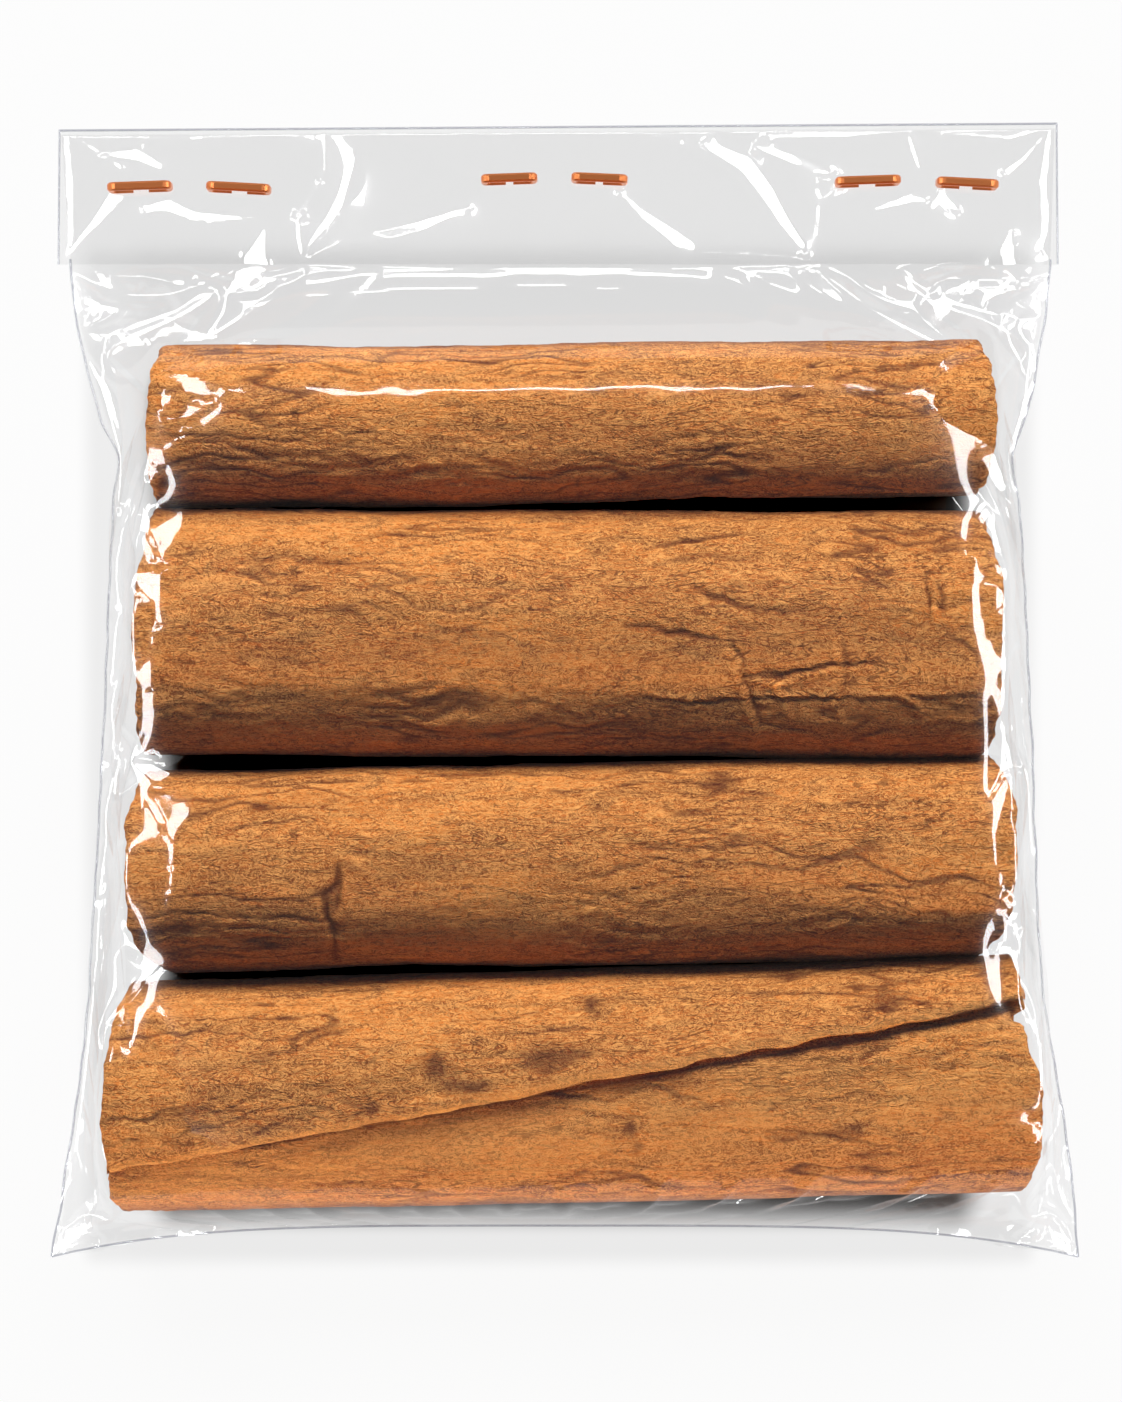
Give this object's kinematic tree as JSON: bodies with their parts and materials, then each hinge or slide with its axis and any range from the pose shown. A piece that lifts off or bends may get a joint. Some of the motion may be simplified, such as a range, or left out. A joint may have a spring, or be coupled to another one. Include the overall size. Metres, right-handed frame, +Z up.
{
  "type": "bag of cinnamon sticks",
  "caption": "Clear film bag filled with thick rolled cinnamon sticks lying side by side, its mouth folded forward and stapled shut; it lies on its back.",
  "frame": {"origin": "under the middle of the bag's box, on the surface that its back lies on", "axes": "+X across the bag along its sticks, +Y from the bottom seam to the folded mouth, +Z up out of the shown front"},
  "size_m": [0.0896, 0.099, 0.0163],
  "materials": {
    "clear_film": "gloss",
    "cassia_bark": "matte",
    "copper_wire": "polished"
  },
  "bodies": {
    "root": {"bag": "clear_film", "staple_1": "copper_wire", "staple_2": "copper_wire", "staple_3": "copper_wire", "staple_4": "copper_wire", "staple_5": "copper_wire", "staple_6": "copper_wire"}
  },
  "joints": []
}
